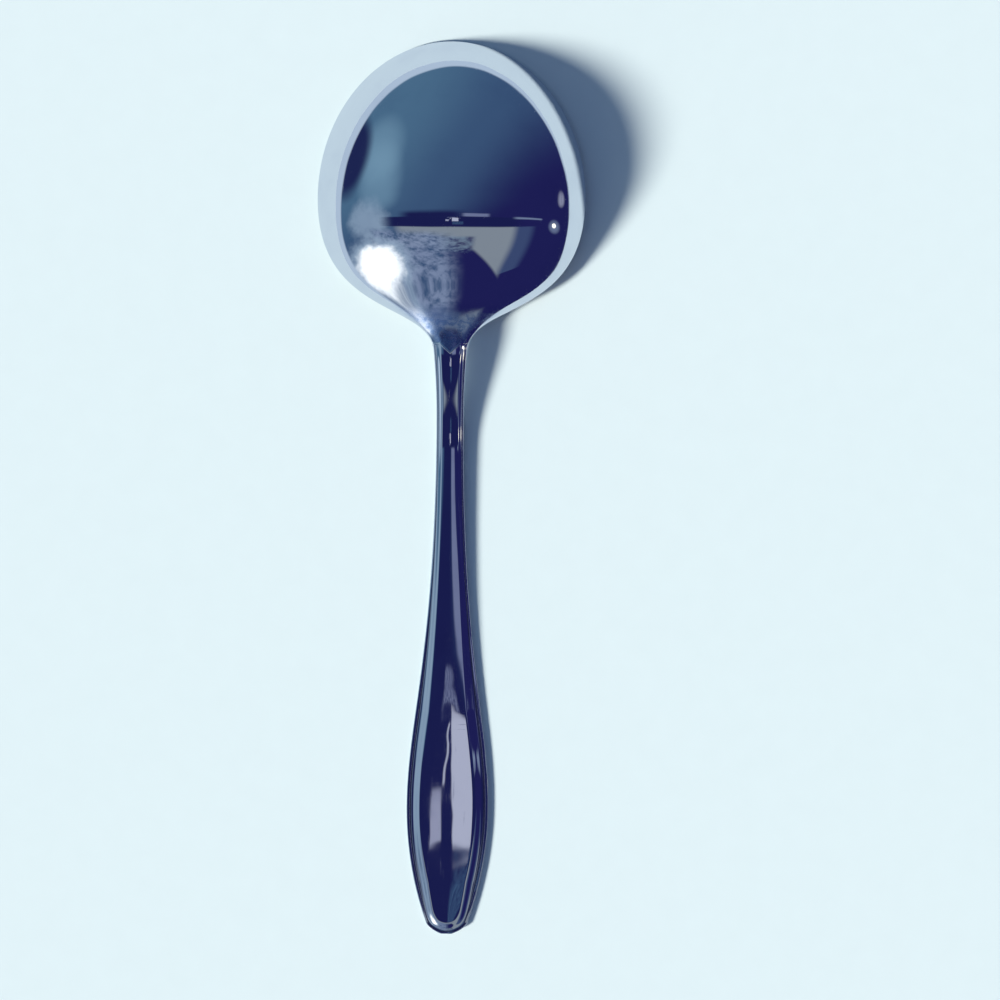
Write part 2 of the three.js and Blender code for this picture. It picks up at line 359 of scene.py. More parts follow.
    def border_scale(self, place: Array) -> Array:
        """Gives how wide and high the border is, 1 where the handle is wide enough for all of it."""
        half = self.half_width(np.minimum(place, self.corner_at))
        return np.minimum(1, half / (self.border_width + self.full_panel))

    def edge_distance(self, x: Array, place: Array) -> tuple[Array, Array]:
        """Gives how far a point of the handle lies inside its side and its tip, at the border's scale.

        Args:
            x: distances from the middle line.
            place: places along the spoon.

        Returns:
            The two distances.
        """
        half = self.half_width(place)
        side = (half - np.abs(x)) / np.hypot(1, self.run(place))
        tip_from = self._places >= self.corner_at
        tip_halves = self._halves[tip_from][::-1]
        tip_places = self._places[tip_from][::-1]
        end_place = np.interp(np.abs(x), tip_halves, tip_places)
        slope = np.interp(np.abs(x), tip_halves, np.abs(np.gradient(tip_places, tip_halves)))
        end = (end_place - place) / np.hypot(1, np.minimum(slope, 1))
        scale = self.border_scale(place)
        return np.maximum(side, 0) / scale, np.maximum(end, 0) / scale

    def handle_back(self, x: Array, place: Array) -> Array:
        """Gives the height of the handle's back over its face: flange, groove, ogee and crowned panel.

        Args:
            x: distances from the middle line.
            place: places along the spoon.

        Returns:
            The heights.
        """
        scale = self.border_scale(place)
        side, end = self.edge_distance(x, place)
        sag = self.point_length * (2 * x / self.tip_width) ** 2
        round_end = np.maximum(self.length - sag - place, 0) / scale
        inner = soft_least(side, round_end * self.end_softness, self.corner_softness)
        arris = self.arris_drop * (1 - round_over(np.minimum(side, end) / self.arris_width))
        rise = self.ogee_rise * scale**self.ogee_fade
        ogee = rise * smoothstep(inner, self.ogee_foot, self.ogee_foot + self.ogee_width)
        beside = np.abs(inner - self.groove_middle)
        groove = self.groove_depth * (1 - smoothstep(beside, 0, self.groove_width / 2))
        level = 1 - (x / self.half_width(np.minimum(place, self.corner_at))) ** 2
        crown = (self.thickness(place) - self.flange_height - rise) * level
        return self.flange_height - arris - groove * scale + ogee + crown

    def back(self, x: Array, place: Array) -> Array:
        """Gives the height of the back above the floor.

        Args:
            x: distances from the middle line.
            place: places along the spoon.

        Returns:
            The heights.
        """
        half = np.maximum(self.half_width(place), self.least_rise)
        rise = np.maximum(self.bowl_rise(place), self.least_rise)
        bowl = self.rim_edge + arc_height(np.minimum(np.abs(x), half), half, centre_below(half, rise))
        border = self.border(place)
        bordered = border > 0
        handle = np.zeros_like(bowl)
        handle[bordered] = self.handle_back(x[bordered], place[bordered])
        return self.face_height(place) + bowl * (1 - border) + handle * border

    def hollow_half_width(self, place: Array) -> Array:
        """Gives half the width of the hollow, which closes round ahead of the heel.

        Args:
            place: places along the spoon.

        Returns:
            The half widths.
        """
        place = np.asarray(place, float)
        share = np.clip((self.bowl_tip_length - place) / (self.bowl_tip_length - self.rim_width), -1, 1)
        tip = self.hollow_half * np.sqrt(1 - share**2)
        closing = np.clip((place - self.hollow_end_at) / self.hollow_rounding + 1, 0, 1)
        inner = np.maximum(self.half_width(place) - self.rim_width * np.hypot(1, self.run(place)), 0)
        return np.where(place < self.bowl_tip_length, tip, inner * np.sqrt(1 - closing**2))

    def face(self, x: Array, place: Array) -> Array:
        """Gives the height of the face above the floor, with the hollow of the bowl.

        Args:
            x: distances from the middle line.
            place: places along the spoon.

        Returns:
            The heights.
        """
        hollow = self.hollow_half_width(place)
        under_back = self.rim_edge + self.bowl_rise(place) - self.bowl_thickness
        middle = np.minimum(arc_height(0, hollow, self.hollow_below), under_back)
        below = centre_below(hollow, np.maximum(middle, self.least_rise))
        height = arc_height(np.minimum(np.abs(x), hollow), hollow, below)
        return self.face_height(place) + np.where(np.abs(x) < hollow, height, 0)

    def seam(self, x: Array) -> Array:
        """Gives the place of the bowl's edge of the seam, a pointed tongue in the middle."""
        share = np.clip(np.abs(x) / self.tongue_half_width, 0, 1)
        return self.tongue_at - self.tongue_length * share

    def point(self, x: Array, place: Array, height: Array) -> Array:
        """Turns millimetres across, along and up into metres in the frame."""
        return np.stack([x, self.length / 2 - place, height], axis=-1) * MM


class NodeBuilder:
    """Adds nodes to one node tree."""

    def __init__(self, tree: bpy.types.NodeTree) -> None:
        """Starts with an empty tree."""
        self.tree = tree
        tree.nodes.clear()

    @staticmethod
    def _socket(sockets: Any, key: str) -> bpy.types.NodeSocket:
        """Finds a socket by its identifier or its name."""
        return next(socket for socket in sockets if key in (socket.identifier, socket.name))

    def node(self, kind: str, settings: dict[str, Any], inputs: dict[str, Any]) -> bpy.types.Node:
        """Adds a node.

        Args:
            kind: the node's type.
            settings: its properties, which are set first.
            inputs: values or links for its sockets, by identifier or name.

        Returns:
            The new node.
        """
        node = self.tree.nodes.new(kind)
        for name, setting in settings.items():
            setattr(node, name, setting)
        for key, value in inputs.items():
            socket = self._socket(node.inputs, key)
            if isinstance(value, Value):
                self.tree.links.new(value.socket, socket)
            else:
                socket.default_value = value
        return node

    def value(self, kind: str, output: str, settings: dict[str, Any], inputs: dict[str, Any]) -> Value:
        """Adds a node and wraps one of its outputs."""
        return Value(self, self._socket(self.node(kind, settings, inputs).outputs, output))

    def math(self, operation: str, first: Any, second: Any = 0.0) -> Value:
        """Adds a Math node."""
        return self.value(
            "ShaderNodeMath", "Value", {"operation": operation}, {"Value": first, "Value_001": second}
        )

    def mix(self, factor: Any, first: Any, second: Any) -> Value:
        """Mixes two colours."""
        inputs = {"Factor_Float": factor, "A_Color": first, "B_Color": second}
        return self.value("ShaderNodeMix", "Result_Color", {"data_type": "RGBA"}, inputs)

    def place(self, scale: Vector | None = None) -> Value:
        """Gives the object coordinates, stretched by a scale in each direction.

        Args:
            scale: the stretch, if any.

        Returns:
            The coordinates.
        """
        coordinates = self.value("ShaderNodeTexCoord", "Object", {}, {})
        if scale is None:
            return coordinates
        inputs = {"Vector": coordinates, "Vector_001": scale}
        return self.value("ShaderNodeVectorMath", "Vector", {"operation": "MULTIPLY"}, inputs)

    def noise(self, place: Value, scale: float, detail: float = 2.0, roughness: float = 0.5) -> Value:
        """Adds a noise with values about 0.5."""
        inputs = {"Vector": place, "Scale": scale, "Detail": detail, "Roughness": roughness}
        return self.value("ShaderNodeTexNoise", "Fac", {}, inputs)

    def combine(self, parts: dict[str, Value]) -> Value:
        """Makes a vector of its parts X, Y and Z."""
        return self.value("ShaderNodeCombineXYZ", "Vector", {}, parts)

    def attribute(self, name: str) -> Value:
        """Reads a value stored on the mesh's points."""
        return self.value("ShaderNodeAttribute", "Fac", {"attribute_name": name}, {})


@dataclass(frozen=True)
class Value:
    """A socket's output, with arithmetic that adds Math nodes."""

    builder: NodeBuilder
    socket: bpy.types.NodeSocket

    def __add__(self, other: Any) -> Value:
        """Adds."""
        return self.builder.math("ADD", self, other)

    def __radd__(self, other: Any) -> Value:
        """Adds, with the number first."""
        return self.builder.math("ADD", other, self)

    def __sub__(self, other: Any) -> Value:
        """Subtracts."""
        return self.builder.math("SUBTRACT", self, other)

    def __rsub__(self, other: Any) -> Value:
        """Subtracts from a number."""
        return self.builder.math("SUBTRACT", other, self)

    def __mul__(self, other: Any) -> Value:
        """Multiplies."""
        return self.builder.math("MULTIPLY", self, other)

    def __rmul__(self, other: Any) -> Value:
        """Multiplies, with the number first."""
        return self.builder.math("MULTIPLY", other, self)

    def __truediv__(self, other: Any) -> Value:
        """Divides."""
        return self.builder.math("DIVIDE", self, other)

    def __rtruediv__(self, other: Any) -> Value:
        """Divides a number."""
        return self.builder.math("DIVIDE", other, self)

    def labelled(self, label: str) -> Value:
        """Names the node in the editor."""
        self.socket.node.label = label
        return self

    def step(self, low: float, high: float) -> Value:
        """Gives a soft step from 0 at low to 1 at high."""
        inputs = {"Value": self, "From Min": low, "From Max": high}
        settings = {"interpolation_type": "SMOOTHSTEP"}
        return self.builder.value("ShaderNodeMapRange", "Result", settings, inputs)


Colour = tuple[float, float, float, float]


def colour(red: float, green: float, blue: float) -> Colour:
    """Gives an opaque colour."""
    return (red, green, blue, 1.0)


@dataclass(frozen=True)
class Grain:
    """A noise, and the two values between which it turns from 0 to 1 as a mask."""

    scale: float
    detail: float
    roughness: float = 0.5
    start: float = 0.0
    end: float = 1.0

    def noise(self, nodes: NodeBuilder, place: Value) -> Value:
        """Gives the noise itself."""
        return nodes.noise(place, self.scale, self.detail, self.roughness)

    def mask(self, nodes: NodeBuilder, place: Value) -> Value:
        """Gives the noise as a mask."""
        return self.noise(nodes, place).step(self.start, self.end)


@dataclass(frozen=True)
class PolishedSilver:
    """Polished silver plate: hairline scratches, smears, a dark groove, and a heel with a painted dark-blue
    reflection and a satin gloss.
    """

    name: str
    tone: Colour = colour(0.66, 0.70, 0.78)
    smear_tone: Colour = colour(0.58, 0.62, 0.72)
    tarnish_tone: Colour = colour(0.16, 0.16, 0.24)
    # Dark blue painted on the heel as a painted reflection of the dark room, not the metal's own tone
    painted_reflection_tone: Colour = colour(0.22, 0.33, 0.58)
    roughness: float = 0.02
    smear_roughness: float = 0.035
    scratch_roughness: float = 0.12
    tarnish_roughness: float = 0.2
    satin_heel_roughness: float = 0.30
    wave_height: float = 0.00006
    smear: Grain = Grain(90, 3, 0.5, 0.45, 0.75)
    smear_share: float = 0.6
    long_scratches: Grain = Grain(2600, 2, 0.5, 0.66, 0.74)
    long_stretch: tuple[float, float, float] = (1, 0.04, 1)
    long_share: float = 0.7
    cross_scratches: Grain = Grain(2100, 2, 0.5, 0.68, 0.76)
    cross_stretch: tuple[float, float, float] = (0.05, 1, 1)
    cross_share: float = 0.5
    mottle: Grain = Grain(900, 3, 0.5, 0.35, 0.65)
    mottle_least: float = 0.75
    mottle_gain: float = 0.5
    wave: Grain = Grain(80, 1)

    def scratches(self, nodes: NodeBuilder) -> Value:
        """Gives how scratched a point is, along the spoon and across it.

        Args:
            nodes: the material's nodes.

        Returns:
            The share of scratches.
        """
        along = self.long_scratches.mask(nodes, nodes.place(Vector(self.long_stretch)))
        across = self.cross_scratches.mask(nodes, nodes.place(Vector(self.cross_stretch)))
        return along * self.long_share + across * self.cross_share

    def material(self) -> bpy.types.Material:
        """Makes the material.

        Returns:
            A metal whose tone, gloss and surface vary over the piece.
        """
        material = bpy.data.materials.new(self.name)
        material.use_nodes = True
        nodes = NodeBuilder(material.node_tree)
        place = nodes.place()
        smear = self.smear.mask(nodes, place)
        scratch = self.scratches(nodes)
        recess = nodes.attribute(RECESS)
        mottle = self.mottle_least + self.mottle_gain * self.mottle.mask(nodes, place)
        # At the heel the tone is painted dark blue as a painted reflection, and the gloss turns satin
        heel_satin_and_painted_reflection = nodes.attribute(HEEL_SATIN_AND_PAINTED_REFLECTION) * mottle
        tone = nodes.mix(smear * self.smear_share, self.tone, self.smear_tone)
        tone = nodes.mix(recess, tone, self.tarnish_tone)
        tone = nodes.mix(heel_satin_and_painted_reflection, tone, self.painted_reflection_tone)
        roughness = self.roughness + smear * self.smear_roughness + scratch * self.scratch_roughness
        roughness = roughness + heel_satin_and_painted_reflection * self.satin_heel_roughness + recess * self.tarnish_roughness
        wave = {"Strength": 1.0, "Distance": self.wave_height, "Height": self.wave.noise(nodes, place)}
        bump = nodes.value("ShaderNodeBump", "Normal", {}, wave)
        finish = {"Base Color": tone, "Metallic": 1.0, "Roughness": roughness, "Normal": bump}
        metal = nodes.node("ShaderNodeBsdfPrincipled", {}, finish)
        output = nodes.node("ShaderNodeOutputMaterial", {}, {})
        nodes.tree.links.new(metal.outputs["BSDF"], output.inputs["Surface"])
        return material


def ring_faces(rows: int, columns: int) -> list[list[int]]:
    """Lists the quads between rings of points that each close on themselves.

    Args:
        rows: number of rings.
        columns: points in each ring.

    Returns:
        Four point indices for each quad.
    """
    row = np.arange(rows - 1)[:, None] * columns
    column = np.arange(columns)[None, :]
    after = (column + 1) % columns
    corners = [row + column, row + after, row + columns + after, row + columns + column]
    return np.stack([corner.ravel() for corner in corners], axis=1).tolist()


def make_object(name: str, points: Array, faces: list[list[int]]) -> bpy.types.Object:
    """Makes a smooth-shaded mesh object.

    Args:
        name: the piece's name.
        points: places in metres.
        faces: point indices of each face.

    Returns:
        The object, linked to the scene.
    """
    mesh = bpy.data.meshes.new(name)
    mesh.from_pydata(points.tolist(), [], faces)
    mesh.validate()
    mesh.shade_smooth()
    mesh.set_sharp_from_angle(angle=math.radians(CREASE_ANGLE))
    piece = bpy.data.objects.new(name, mesh)
    bpy.context.scene.collection.objects.link(piece)
    return piece


def store(piece: bpy.types.Object, name: str, values: Array) -> None:
    """Stores a value on each point of a mesh, for its material."""
    piece.data.attributes.new(name, "FLOAT", "POINT").data.foreach_set("value", values.astype(np.float32))


@dataclass
class SilverPiece:
    """A piece of the spoon, with the solid that it stands for, if any, and its material slot."""

    form: SpoonForm
    name: str = ""
    node: str = ""
    slot: str = ""

    def metal(self) -> bpy.types.Material:
        """Makes the piece's own polished metal."""
        return PolishedSilver(self.slot).material()

    def dress(self, piece: bpy.types.Object) -> None:
        """Gives the mesh its metal, named after its slot, ties it to the body and hides the solid that it
        stands for, if any.

        Args:
            piece: the mesh that build made.
        """
        piece.data.materials.append(self.metal())
        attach(piece, BODY)
        if self.node:
            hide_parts(self.node)


@dataclass(frozen=True)
class BowlOutline:
    """The bowl's outline: distances across, places along, and 1 on the free rim, 0 along the seam."""

    x: Array
    place: Array
    free: Array


@dataclass
class BowlShell(SilverPiece):
    """The dished bowl: a domed back, a narrow rounded rim, and the hollow underneath."""

    name: str = "bowl_shell"
    node: str = "bowl"
    slot: str = "bowl_silver"
    tip_points: int = 110
    shoulder_points: int = 120
    seam_points: int = 6
    tongue_points: int = 10
    back_rings: int = 80
    land_rings: int = 6
    hollow_rings: int = 60
    search_steps: int = 40
    ring_crowding: float = 1.35
    edge_softness: float = 0.12
    back_inset: float = 0.3
    edge_heights: tuple[float, float] = (0.75, 0.4)
    # Where the heel's painted dark-blue reflection and satin gloss begin, fade in and reach across
    dark_heel_run: float = 12.2
    dark_heel_fade: float = 5.2
    dark_heel_share: float = 0.8
    dark_heel_width: float = 0.7

    def outline(self) -> BowlOutline:
        """Runs once round the bowl.

        Returns:
            The outline, from the tip down the right side and up the left.
        """
        form = self.form
        angles = np.linspace(0, math.pi / 2, self.tip_points, endpoint=False)
        tip_x = form.bowl_width / 2 * np.sin(angles)
        tip_place = form.bowl_tip_length * (1 - np.cos(angles))
        dense = np.linspace(form.bowl_tip_length, form.seam_at, form.samples)
        halves = form.half_width(dense)
        run = np.concatenate([[0], np.cumsum(np.hypot(np.diff(halves), np.diff(dense)))])
        shares = np.linspace(0, run[-1], self.shoulder_points, endpoint=False)
        shoulder_place = np.interp(shares, run, dense)
        shoulder_x = form.half_width(shoulder_place)
        seam_x = np.linspace(halves[-1], form.tongue_half_width, self.seam_points, endpoint=False)
        tongue_x = np.linspace(form.tongue_half_width, 0, self.tongue_points + 1)
        right_x = np.concatenate([tip_x, shoulder_x, seam_x, tongue_x])
        right_place = np.concatenate([tip_place, shoulder_place, form.seam(seam_x), form.seam(tongue_x)])
        free = np.concatenate([np.ones(len(tip_x) + len(shoulder_x)), np.zeros(len(seam_x) + len(tongue_x))])
        x = np.concatenate([right_x, -right_x[-2:0:-1]])
        place = np.concatenate([right_place, right_place[-2:0:-1]])
        return BowlOutline(x, place, np.concatenate([free, free[-2:0:-1]]))

    def ring(self, outline: BowlOutline, share: Array) -> tuple[Array, Array]:
        """Gives where a ring runs, at a share of the way from the middle of the bowl to its outline."""
        middle = self.form.bowl_tip_length
        return share * outline.x, middle + share * (outline.place - middle)

    def hollow_shares(self, outline: BowlOutline) -> Array:
        """Finds where each ray from the middle to the outline leaves the hollow.

        Args:
            outline: the bowl's outline.

        Returns:
            Shares of the rays' lengths.
        """
        low, high = np.zeros_like(outline.x), np.ones_like(outline.x)
        for _ in range(self.search_steps):
            share = (low + high) / 2
            x, place = self.ring(outline, share)
            inside = np.abs(x) < self.form.hollow_half_width(place)
            low, high = np.where(inside, share, low), np.where(inside, high, share)
        return low

    def back_points(self, outline: BowlOutline, softness: Array) -> list[Array]:
        """Makes the rings of the domed back.

        Args:
            outline: the bowl's outline.
            softness: rounding of the rim's edge, as a share of the way from the middle.

        Returns:
            The rings, from the middle out.
        """
        steps = np.arange(1, self.back_rings + 1) / self.back_rings
        rim_share = 1 - self.back_inset * softness
        rings = []
        for share in 1 - (1 - steps) ** self.ring_crowding:
            x, place = self.ring(outline, share * rim_share)
            rings.append(self.form.point(x, place, self.form.back(x, place)))
        return rings

    def edge_points(self, outline: BowlOutline) -> list[Array]:
        """Makes the rings down the rim's edge.

        Args:
            outline: the bowl's outline.

        Returns:
            The rings, from the back to the face.
        """
        x, place = self.ring(outline, np.ones_like(outline.x))
        edge = self.form.back(outline.x, outline.place) - self.form.face_height(outline.place)
        base = self.form.face_height(place)
        return [self.form.point(x, place, base + height * edge) for height in self.edge_heights]

    def face_points(self, outline: BowlOutline, softness: Array) -> list[Array]:
        """Makes the rings of the flat rim and of the hollow.

        Args:
            outline: the bowl's outline.
            softness: rounding of the rim's edge, as a share of the way from the middle.

        Returns:
            The rings, from the rim in.
        """
        hollow = self.hollow_shares(outline)
        outer = 1 - softness
        rings = []
        for step in np.linspace(0, 1, self.land_rings):
            x, place = self.ring(outline, outer + (hollow - outer) * step)
            rings.append(self.form.point(x, place, self.form.face_height(place)))
        for step in (1 - np.arange(1, self.hollow_rings) / self.hollow_rings) ** (1 / self.ring_crowding):
            x, place = self.ring(outline, hollow * step)
            rings.append(self.form.point(x, place, self.form.face(x, place)))
        return rings

    def faces(self, rows: int, columns: int) -> list[list[int]]:
        """Lists the faces of the rings and the two fans that close them.

        Args:
            rows: number of rings.
            columns: points in each ring.

        Returns:
            Point indices of each face, with the fans' middles after all rings.
        """
        faces = ring_faces(rows, columns)
        last = (rows - 1) * columns
        top = rows * columns
        for i in range(columns):
            after = (i + 1) % columns
            faces.append([top, after, i])
            faces.append([top + 1, last + i, last + after])
        return faces

    def heel_satin_and_painted_reflection(self, points: Array) -> Array:
        """Gives how far the heel gets its painted dark-blue reflection and satin gloss, from nothing ahead
        of it to its full share at the seam.

        Args:
            points: the bowl's points in metres.

        Returns:
            A share for each point, 0 along the rim.
        """
        form = self.form
        along = form.length / 2 - points[:, 1] / MM
        aside = np.abs(points[:, 0] / MM) / np.maximum(form.half_width(along), form.blunt_width)
        start = form.tongue_at - self.dark_heel_run
        near = smoothstep(along, start, start + self.dark_heel_fade)
        return self.dark_heel_share * near * (1 - smoothstep(aside, self.dark_heel_width, 1))

    def build(self) -> bpy.types.Object:
        """Makes the mesh.

        Returns:
            The bowl.
        """
        form = self.form
        outline = self.outline()
        radius = np.hypot(outline.x, outline.place - form.bowl_tip_length)
        softness = self.edge_softness * outline.free / radius
        rings = self.back_points(outline, softness) + self.edge_points(outline)
        rings += self.face_points(outline, softness)
        x, place = np.zeros(1), np.array([form.bowl_tip_length])
        top = form.point(x, place, form.back(x, place))
        bottom = form.point(x, place, form.face(x, place))
        points = np.vstack([*rings, top, bottom])
        piece = make_object(self.name, points, self.faces(len(rings), len(outline.x)))
        # The heel's share of painted dark-blue reflection and satin gloss
        store(piece, HEEL_SATIN_AND_PAINTED_REFLECTION, self.heel_satin_and_painted_reflection(points))
        return piece


@dataclass
class HandleBlank(SilverPiece):
    """The stem and grip: a plain flange, a step that follows the outline, and a crowned panel."""

    name: str = "handle_blank"
    node: str = "handle"
    slot: str = "handle_silver"
    stem_step: float = 0.5
    seam_step: float = 0.25
    tip_step: float = 0.12
    point_step: float = 0.05
    seam_run: float = 7.0
    tip_run: float = 9.0
    point_run: float = 0.8
    border_columns: int = 40
    panel_columns: int = 18
    column_crowding: float = 1.15
    tarnish_width: float = 0.25
    tarnish_share: float = 0.85

    def rows(self) -> Array:
        """Spaces the rows, closer together at the seam and at the tip.

        Returns:
            The places of the rows.
        """
        form = self.form
        seam_end = form.seam_at + form.seam_shift
        stops = [
            (seam_end, self.seam_step),
            (seam_end + self.seam_run, self.stem_step),
            (form.length - self.tip_run, self.tip_step),
            (form.length - self.point_run, self.point_step),
            (form.length, 0),
        ]
        parts = []
        for (start, step), (end, _) in zip(stops, stops[1:]):
            parts.append(np.linspace(start, end, round((end - start) / step), endpoint=False))
        return np.concatenate(parts + [[form.length]])

    def spread_points(self) -> tuple[Array, Array]:
        """Spreads points over the handle, with the first rows bent round the tongue.

        Returns:
            Distances across and places along, in rows.
        """
        form = self.form
        row_places = self.rows()[:, None]
        border = form.border_width * np.linspace(0, 1, self.border_columns) ** self.column_crowding
        half = form.half_width(row_places)
        shrink = np.minimum(1, half / (form.border_width + form.full_panel))
        spread = shrink * np.hypot(1, np.maximum(form.run(row_places), -form.tip_flare))
        panel_half = half - form.border_width * spread
        panel = panel_half * (1 - np.arange(1, self.panel_columns + 1)[None, :] / self.panel_columns)
        right = np.hstack([half - border[None, :] * spread, panel])
        across = np.hstack([right, -right[:, -2::-1]])
        seam_end = row_places[0, 0]
        fade = 1 - smoothstep(row_places, seam_end, seam_end + self.seam_run)
        place = row_places + (form.seam(across) - form.seam_at) * fade
        return np.clip(across, -form.half_width(place), form.half_width(place)), place

    def faces(self, rows: int, columns: int) -> list[list[int]]:
        """Lists the faces of the sections and of the two ends.

        Args:
            rows: number of sections.
            columns: points in each section, half of them on the back.

        Returns:
            Point indices of each face.
        """
        faces = ring_faces(rows, columns)
        last = (rows - 1) * columns
        for j in range(columns // 2 - 1):
            start = [j, j + 1, columns - 2 - j, columns - 1 - j]
            faces.append(start[::-1])
            faces.append([last + corner for corner in start])
        return faces

    def build(self) -> bpy.types.Object:
        """Makes the mesh.

        Returns:
            The handle.
        """
        form = self.form
        across, place = self.spread_points()
        distance = np.minimum(*form.edge_distance(across, place))
        chamfer = form.face_chamfer * (1 - round_over(distance / form.face_chamfer))
        top = form.point(across, place, form.back(across, place))
        bottom = form.point(across, place, form.face_height(place) + chamfer)[:, ::-1]
        sections = np.concatenate([top, bottom], axis=1)
        piece = make_object(self.name, sections.reshape(-1, 3), self.faces(*sections.shape[:2]))
        groove = np.exp(-(((distance - form.groove_middle) / self.tarnish_width) ** 2)) * form.border(place)
        store(piece, RECESS, self.tarnish_share * np.hstack([groove, np.zeros_like(groove)]).ravel())
        return piece


@dataclass
class SolderSeam(SilverPiece):
    """The solder that fills the seam, a flat bead over the join."""

    name: str = "solder_seam"
    slot: str = "handle_silver"
    points: int = 49
    dip: float = 0.05
    bead_reach: float = 0.28
    bead_height: float = 0.05
    bead_points: int = 9

    def metal(self) -> bpy.types.Material:
        """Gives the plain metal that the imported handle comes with."""
        return bpy.data.materials[self.slot]

    def build(self) -> bpy.types.Object:
        """Makes the mesh.

        Returns:
            The solder.
        """
        form = self.form
        half = form.half_width(np.array([form.seam_at]))[0] - self.dip
        corners = [-half, -form.tongue_half_width, 0, form.tongue_half_width, half]
        x = np.unique(np.concatenate([np.linspace(-half, half, self.points), corners]))[:, None]
        across = np.linspace(-1, 1, self.bead_points)[None, :]
        reach = form.seam_shift / 2 + self.bead_reach
        bead_place = form.seam(x) + form.seam_shift / 2 + reach * across
        bead_x = np.broadcast_to(x, bead_place.shape)
        swell = (self.bead_height + self.dip) * (1 - across**2) - self.dip
        top = form.point(bead_x, bead_place, form.back(bead_x, bead_place) + swell)
        low_place = np.hstack([form.seam(x) + form.seam_shift, form.seam(x)])
        low_x = np.broadcast_to(x, low_place.shape)
        bottom = form.point(low_x, low_place, form.face_height(low_place) + self.dip)
        sections = np.concatenate([top, bottom], axis=1)
        rows, columns = sections.shape[:2]
        first_end = list(range(columns))[::-1]
        last_end = [(rows - 1) * columns + i for i in range(columns)]
        faces = ring_faces(rows, columns) + [first_end, last_end]
        return make_object(self.name, sections.reshape(-1, 3), faces)


@dataclass(frozen=True)
class Span:
    """A range of one of the room's coordinates, with soft ends."""

    low: float
    high: float
    soft: float = 0.02

    def mask(self, place: Value) -> Value:
        """Gives 1 inside the range and 0 outside."""
        after_low = place.step(self.low - self.soft, self.low + self.soft)
        return after_low * (1 - place.step(self.high - self.soft, self.high + self.soft))


class Texture(Enum):
    """How a thing in the room is broken up by a second tone."""

    PLAIN = "plain"
    ROWS = "rows"
    SPECKS = "specks"


@dataclass(frozen=True)
class RoomGrain:
    """The noises that break up the things in the room."""

    rows: Grain = Grain(9, 6, 0.66, 0.38, 0.66)
    row_height: float = 2.0
    specks: Grain = Grain(1, 3, 0.6, 0.42, 0.62)
    specks_across: float = 80.0
    specks_down: float = 900.0
    wobble: Grain = Grain(6, 4, 0.65)
    wobble_middle: float = 0.5
    least_up: float = 0.02


class RoomView:
    """The direction of a ray as the room's coordinates."""

    def __init__(self, nodes: NodeBuilder, grain: RoomGrain) -> None:
        """Splits the direction into coordinates.

        Args:
            nodes: the world's nodes.
            grain: the noises to prepare.
        """
        self.direction = nodes.value("ShaderNodeTexCoord", "Generated", {}, {})
        parts = nodes.node("ShaderNodeSeparateXYZ", {}, {"Vector": self.direction})
        self.east, self.north, self.up = (Value(nodes, output) for output in parts.outputs)
        over = nodes.math("MAXIMUM", self.up, grain.least_up)
        self.right = self.east / over
        self.down = (0 - self.north) / over
        overhead = {"X": self.right * grain.specks_across, "Y": self.down * grain.specks_down}
        tall = {"X": self.east, "Y": self.north, "Z": self.up * grain.row_height}
        self.textures = {
            Texture.ROWS: grain.rows.mask(nodes, nodes.combine(tall)),
            Texture.SPECKS: grain.specks.mask(nodes, nodes.combine(overhead)),
        }
        self.wobble = grain.wobble.noise(nodes, self.direction) - grain.wobble_middle


@dataclass(frozen=True)
class Patch:
    """A four-sided thing in the room, above the spoon.

    Its place is measured to the right and down in the picture, as a share of its height above the spoon.
    """

    name: str
    tone: Colour
    right: Span
    down: Span
    strength: float = 1.0
    slant: float = 0.0
    texture: Texture = Texture.PLAIN
    second_tone: Colour = colour(0.0, 0.0, 0.0)

    def paint(self, nodes: NodeBuilder, view: RoomView, tone: Value) -> Value:
        """Lays the patch over what is painted already.

        Args:
            nodes: the world's nodes.
            view: the directions that the room is painted in.
            tone: the colour so far.

        Returns:
            The colour with the patch.
        """
        mask = self.right.mask(view.right - view.down * self.slant) * self.down.mask(view.down)
        own = self.tone
        if self.texture is not Texture.PLAIN:
            own = nodes.mix(view.textures[self.texture], self.tone, self.second_tone)
        return nodes.mix(mask * self.strength, tone, own).labelled(self.name)


@dataclass(frozen=True)
class Glow:
    """A round light or shade in the room, with its radii in degrees."""

    name: str
    tone: Colour
    towards: tuple[float, float, float]
    full: float
    fade: float
    strength: float = 1.0
    ragged: float = 0.0

    def paint(self, nodes: NodeBuilder, view: RoomView, tone: Value) -> Value:
        """Lays the glow over what is painted already.

        Args:
            nodes: the world's nodes.
            view: the directions that the room is painted in.
            tone: the colour so far.

        Returns:
            The colour with the glow.
        """
        inputs = {"Vector": view.direction, "Vector_001": Vector(self.towards).normalized()}
        near = nodes.value("ShaderNodeVectorMath", "Value", {"operation": "DOT_PRODUCT"}, inputs)
        if self.ragged:
            near = near + view.wobble * self.ragged
        mask = near.step(math.cos(math.radians(self.fade)), math.cos(math.radians(self.full)))
        return nodes.mix(mask * self.strength, tone, self.tone).labelled(self.name)


NAVY = colour(0.018, 0.018, 0.110)
RAIL_NAVY = colour(0.014, 0.017, 0.092)
SLATE = colour(0.060, 0.120, 0.230)
TEAL = colour(0.098, 0.205, 0.315)
HAZE = colour(0.27, 0.46, 0.58)
FROST = colour(0.50, 0.64, 0.76)
BOARD = colour(0.30, 0.34, 0.375)
DULL_BOARD = colour(0.19, 0.27, 0.36)
LAVENDER = colour(0.30, 0.37, 0.52)
DUSK = colour(0.06, 0.09, 0.20)
PALE = colour(0.57, 0.58, 0.70)
VEIL = colour(0.26, 0.29, 0.45)
MIST = colour(0.40, 0.41, 0.54)
WHITE = colour(1.9, 1.9, 1.8)
WARM_WHITE = colour(3.6, 3.2, 2.4)
HORIZON = colour(0.60, 0.72, 0.84)

